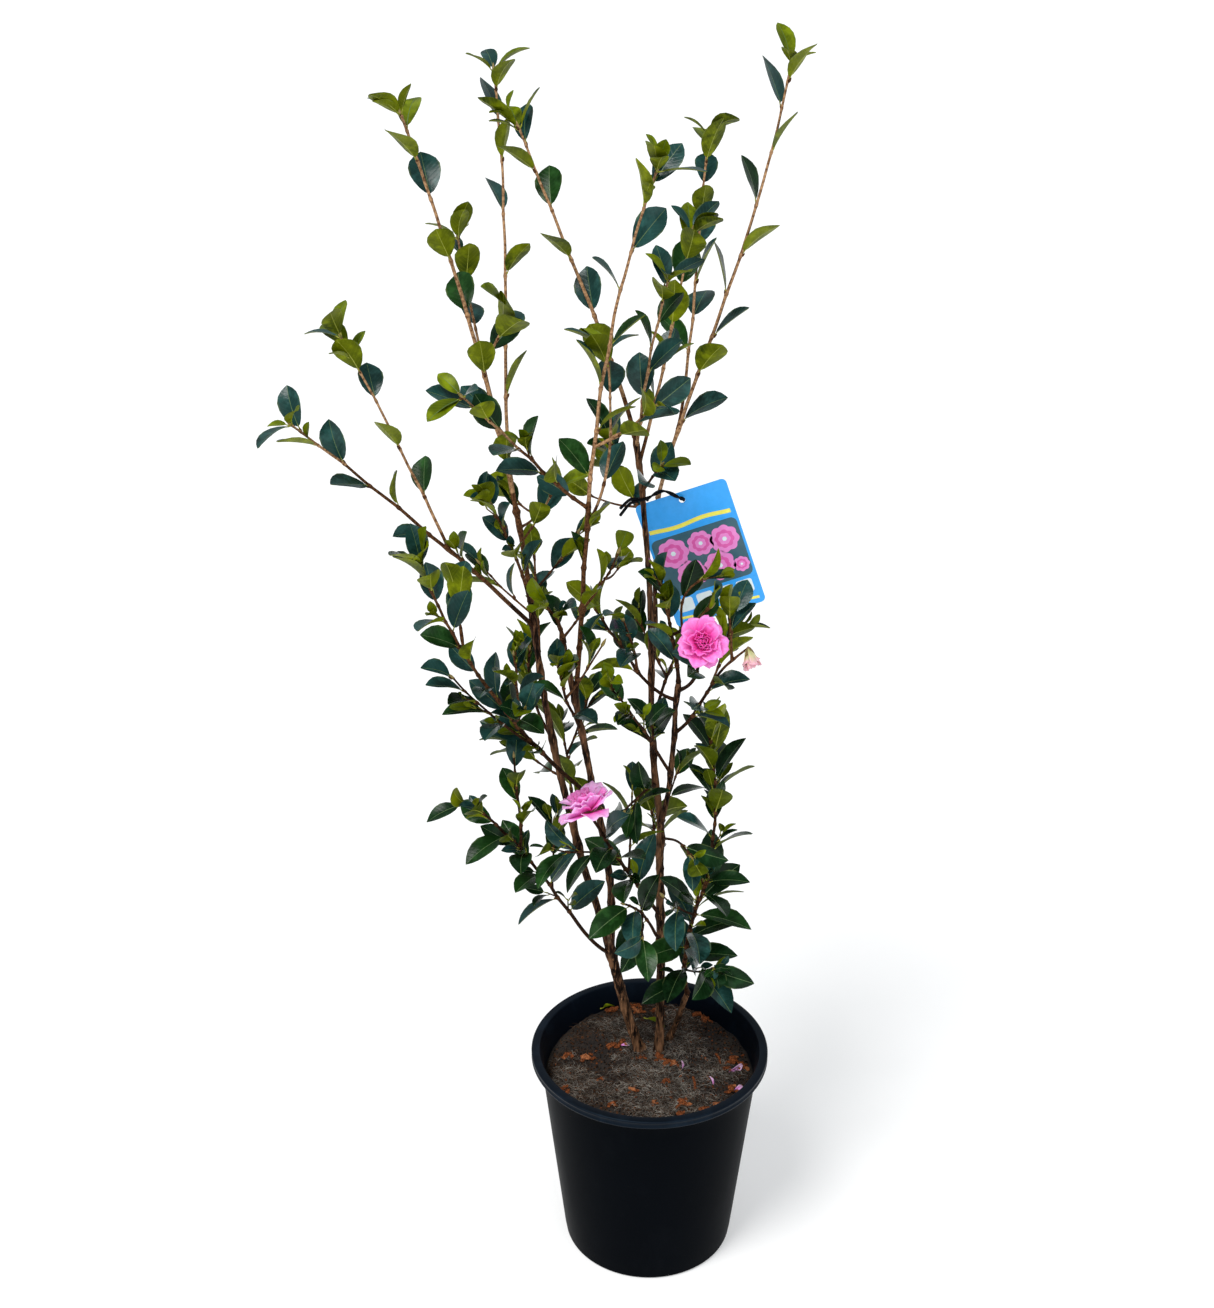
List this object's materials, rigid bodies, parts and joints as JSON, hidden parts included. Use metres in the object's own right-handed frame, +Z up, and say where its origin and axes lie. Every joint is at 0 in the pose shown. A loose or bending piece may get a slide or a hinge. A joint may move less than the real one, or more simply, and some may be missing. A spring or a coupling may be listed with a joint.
{
  "type": "potted camellia shrub",
  "caption": "Slim upright camellia shrub in a round nursery pot, with stems, boughs, leafy sprays, open blossoms and a hanging plant tag.",
  "frame": {"origin": "centre of the pot's flat underside", "axes": "+Z up, -Y the front that the picture shows, +X to the right seen from the front"},
  "size_m": [0.4714, 0.3577, 1.2694],
  "materials": {
    "pot": "black moulded plastic with a soft bluish sheen, light scuffs and dust",
    "soil": "dark peaty compost with grey root fibres and bark chips",
    "bark": "reddish brown bark with fine lengthwise cracks, paler and smoother higher up",
    "foliage": "glossy leathery leaves, dark green above, yellow-green underneath",
    "petals": "thin satin petals, deeper pink at the heart",
    "tag_card": "glossy printed plastic card",
    "tie": "black plastic-covered tie"
  },
  "bodies": {
    "root": {"pot": "pot", "soil": "soil", "trunk_left": "bark", "trunk_right": "bark", "stem_right": "bark", "bough_left": "bark", "bough_middle": "bark", "bough_right": "bark", "bough_front": "bark", "bough_back": "bark", "dead_stub": "bark", "whips_left": "foliage", "spray_far_left": "foliage", "spray_left_fork": "foliage", "whips_middle": "foliage", "spray_middle": "foliage", "spray_left_low": "foliage", "spray_left_mid": "foliage", "spray_centre": "foliage", "spray_low_left": "foliage", "blossom_left": "foliage", "whip_centre": "foliage", "whip_centre_short": "foliage", "whip_right_near": "foliage", "spray_right_tuft": "foliage", "whips_right": "foliage", "spray_trunk_up": "foliage", "spray_trunk_side": "foliage", "spray_front": "foliage", "blossom_front": "foliage", "spray_right": "foliage", "spray_cross": "foliage", "spray_low_centre": "foliage", "spray_trunk_right": "foliage", "spray_foot_right": "foliage", "spray_foot_left": "foliage", "spray_foot_back": "foliage", "spray_back_left": "foliage", "spray_back_left_up": "foliage", "spray_back_right": "foliage", "spray_back_top": "foliage", "tag": "tag_card", "tag_tie": "tie"}
  },
  "joints": []
}
